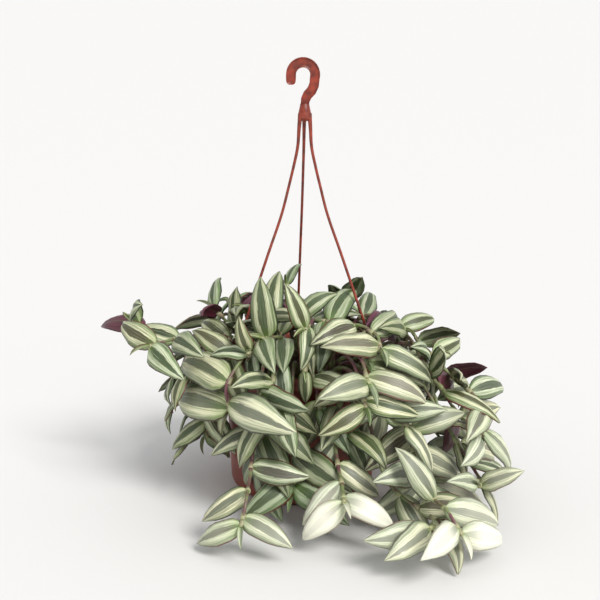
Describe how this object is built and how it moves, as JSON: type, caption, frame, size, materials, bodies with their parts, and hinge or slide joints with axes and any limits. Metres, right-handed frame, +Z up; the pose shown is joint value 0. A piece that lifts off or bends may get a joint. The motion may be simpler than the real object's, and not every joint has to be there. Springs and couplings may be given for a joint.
{
  "type": "potted trailing plant",
  "caption": "Trailing striped-leaf houseplant in a round plastic pot with a three-legged hanger and hook, its stems spilling over the rim.",
  "frame": {"origin": "middle of the pot's flat foot, on the surface it stands on", "axes": "+Z up along the pot's axis, -Y towards the viewer, so the hook opens towards -X"},
  "size_m": [0.3736, 0.3559, 0.3807],
  "materials": {
    "pot_plastic": "moulded, slightly satin",
    "soil": "rough and crumbly",
    "foliage": "satin"
  },
  "bodies": {
    "root": {"hanger": "pot_plastic", "pot": "pot_plastic", "soil": "soil", "stem_back_left_drop": "foliage", "stem_back_left_low": "foliage", "stem_back_low": "foliage", "stem_back_mid_drop": "foliage", "stem_back_mid_high": "foliage", "stem_back_right_drop": "foliage", "stem_back_right_high": "foliage", "stem_back_right_low": "foliage", "stem_centre": "foliage", "stem_centre_right": "foliage", "stem_crown": "foliage", "stem_crown_left": "foliage", "stem_crown_mid": "foliage", "stem_crown_right": "foliage", "stem_fill_left_upper": "foliage", "stem_fill_right_side": "foliage", "stem_front_hang": "foliage", "stem_front_left": "foliage", "stem_front_left_high": "foliage", "stem_front_low_left": "foliage", "stem_front_low_right": "foliage", "stem_front_right": "foliage", "stem_front_right_fall": "foliage", "stem_front_right_low": "foliage", "stem_heart_left": "foliage", "stem_left_back_crest": "foliage", "stem_left_crest": "foliage", "stem_left_drop": "foliage", "stem_left_mid": "foliage", "stem_left_reach": "foliage", "stem_left_reach_low": "foliage", "stem_left_side_fall": "foliage", "stem_left_upper": "foliage", "stem_right_crest": "foliage", "stem_right_drop": "foliage", "stem_right_fall": "foliage", "stem_right_mid": "foliage", "stem_right_outer": "foliage", "stem_right_shoulder": "foliage", "stem_right_side": "foliage", "stem_right_side_fall": "foliage", "stem_right_upper": "foliage", "stem_rim_centre": "foliage", "stem_skirt_front": "foliage", "stem_skirt_front_left": "foliage", "stem_skirt_left": "foliage", "stem_skirt_right": "foliage", "stem_top_front": "foliage", "stem_top_side": "foliage", "stem_trail_centre": "foliage", "stem_trail_left": "foliage", "stem_trail_right": "foliage", "stem_trail_right_inner": "foliage", "stem_trail_right_outer": "foliage"}
  },
  "joints": []
}
